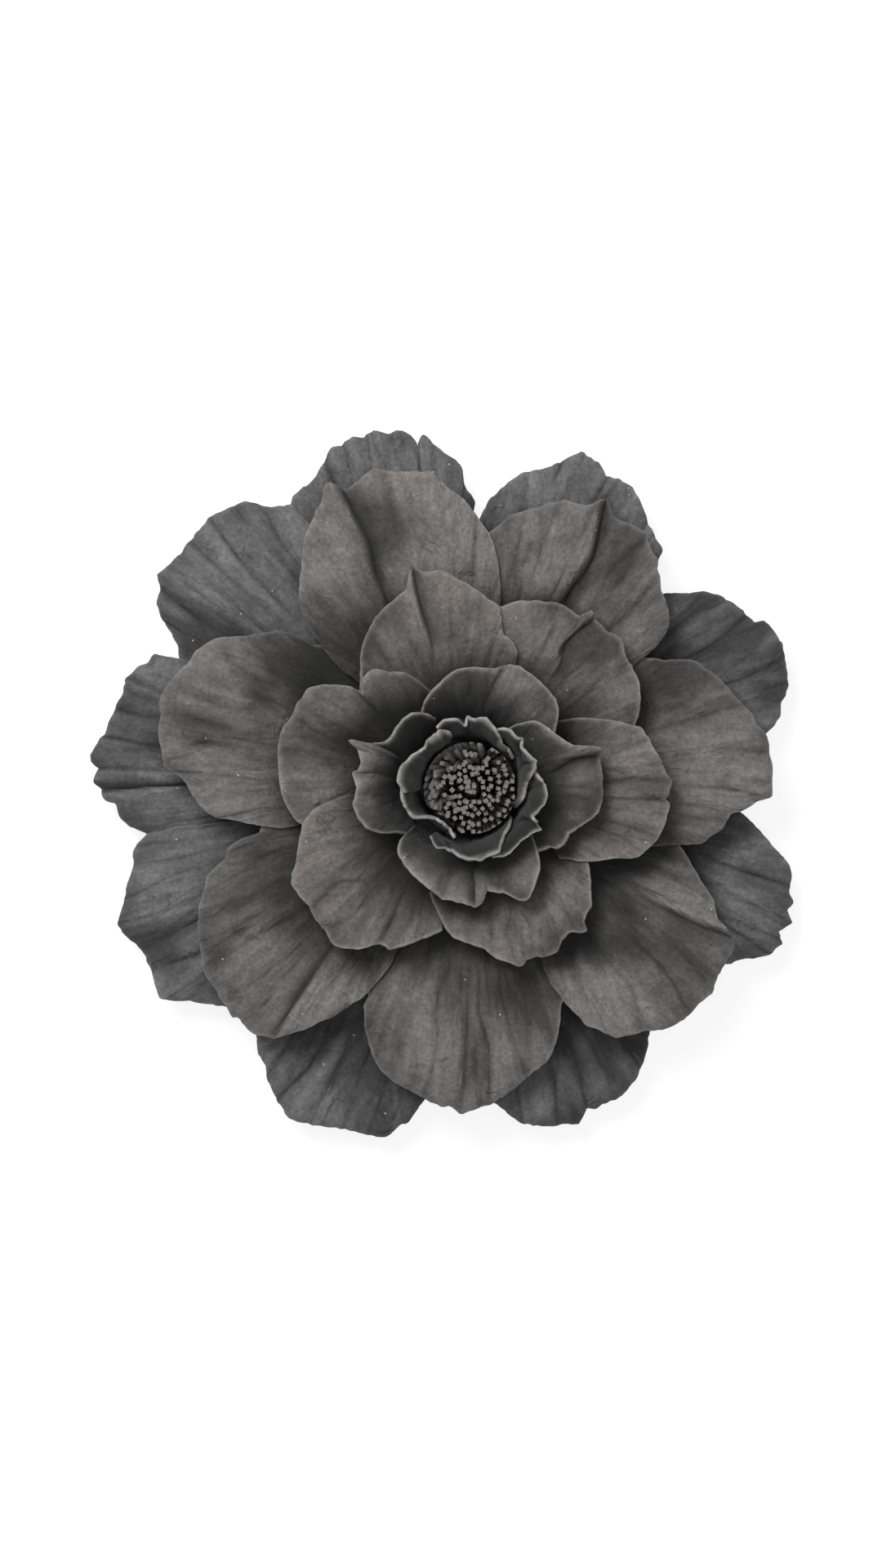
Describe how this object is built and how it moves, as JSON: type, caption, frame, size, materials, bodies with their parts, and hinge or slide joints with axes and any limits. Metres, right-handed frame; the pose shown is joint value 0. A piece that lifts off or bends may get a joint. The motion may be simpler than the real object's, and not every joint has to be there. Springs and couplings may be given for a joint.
{
  "type": "giant paper flower",
  "caption": "Large layered flower of charcoal craft paper: rings of folded, lapping petals round a rolled fringe of square-ended stamens, lying on a round backing card.",
  "frame": {"origin": "centre of the backing card's flat rear face", "axes": "+Z along the flower's axis, out of its face; +Y is the top of the flower as the picture shows it, and +X is to its right"},
  "size_m": [0.456, 0.4609, 0.0953],
  "materials": {
    "charcoal_paper": "matte charcoal craft paper, soft and thick, chalky along its folds and cut edges",
    "grey_fringe_paper": "matte warm grey craft paper, dusted pale on the cut ends",
    "black_card": "plain matte black card"
  },
  "bodies": {
    "root": {"backing_card": "black_card", "stamen_roll": "grey_fringe_paper", "outer_petal_1": "charcoal_paper", "outer_petal_2": "charcoal_paper", "outer_petal_3": "charcoal_paper", "outer_petal_4": "charcoal_paper", "outer_petal_5": "charcoal_paper", "outer_petal_6": "charcoal_paper", "outer_petal_7": "charcoal_paper", "outer_petal_8": "charcoal_paper", "outer_petal_9": "charcoal_paper", "second_petal_1": "charcoal_paper", "second_petal_2": "charcoal_paper", "second_petal_3": "charcoal_paper", "second_petal_4": "charcoal_paper", "second_petal_5": "charcoal_paper", "second_petal_6": "charcoal_paper", "second_petal_7": "charcoal_paper", "third_petal_1": "charcoal_paper", "third_petal_2": "charcoal_paper", "third_petal_3": "charcoal_paper", "third_petal_4": "charcoal_paper", "third_petal_5": "charcoal_paper", "third_petal_6": "charcoal_paper", "fourth_petal_1": "charcoal_paper", "fourth_petal_2": "charcoal_paper", "fourth_petal_3": "charcoal_paper", "fourth_petal_4": "charcoal_paper", "cup_petal_1": "charcoal_paper", "cup_petal_2": "charcoal_paper", "cup_petal_3": "charcoal_paper", "cup_petal_4": "charcoal_paper", "cup_petal_5": "charcoal_paper", "cup_petal_6": "charcoal_paper"}
  },
  "joints": []
}
